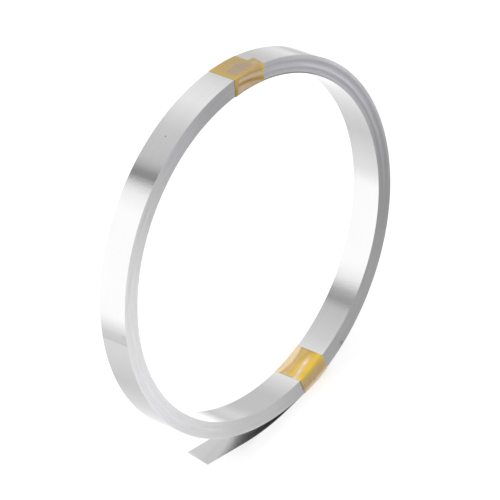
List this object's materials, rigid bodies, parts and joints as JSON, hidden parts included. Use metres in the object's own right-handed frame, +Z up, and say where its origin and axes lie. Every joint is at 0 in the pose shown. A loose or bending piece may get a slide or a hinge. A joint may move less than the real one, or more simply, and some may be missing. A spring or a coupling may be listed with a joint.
{
  "type": "roll of nickel strip",
  "caption": "Flat coil of thin metal strip with an open bore and a loose free end, held by two bands of amber film tape.",
  "frame": {"origin": "middle of the bore, on its axis and half way along it", "axes": "+Y along the bore, towards the back end; +Z up from the floor that the roll stands on; +X to the right, seen from the front end"},
  "size_m": [0.1197, 0.0104, 0.12],
  "materials": {
    "nickel": "satin",
    "film_tape": "gloss"
  },
  "bodies": {
    "root": {"nickel_strip": "nickel", "upper_tape": "film_tape", "lower_tape": "film_tape"}
  },
  "joints": []
}
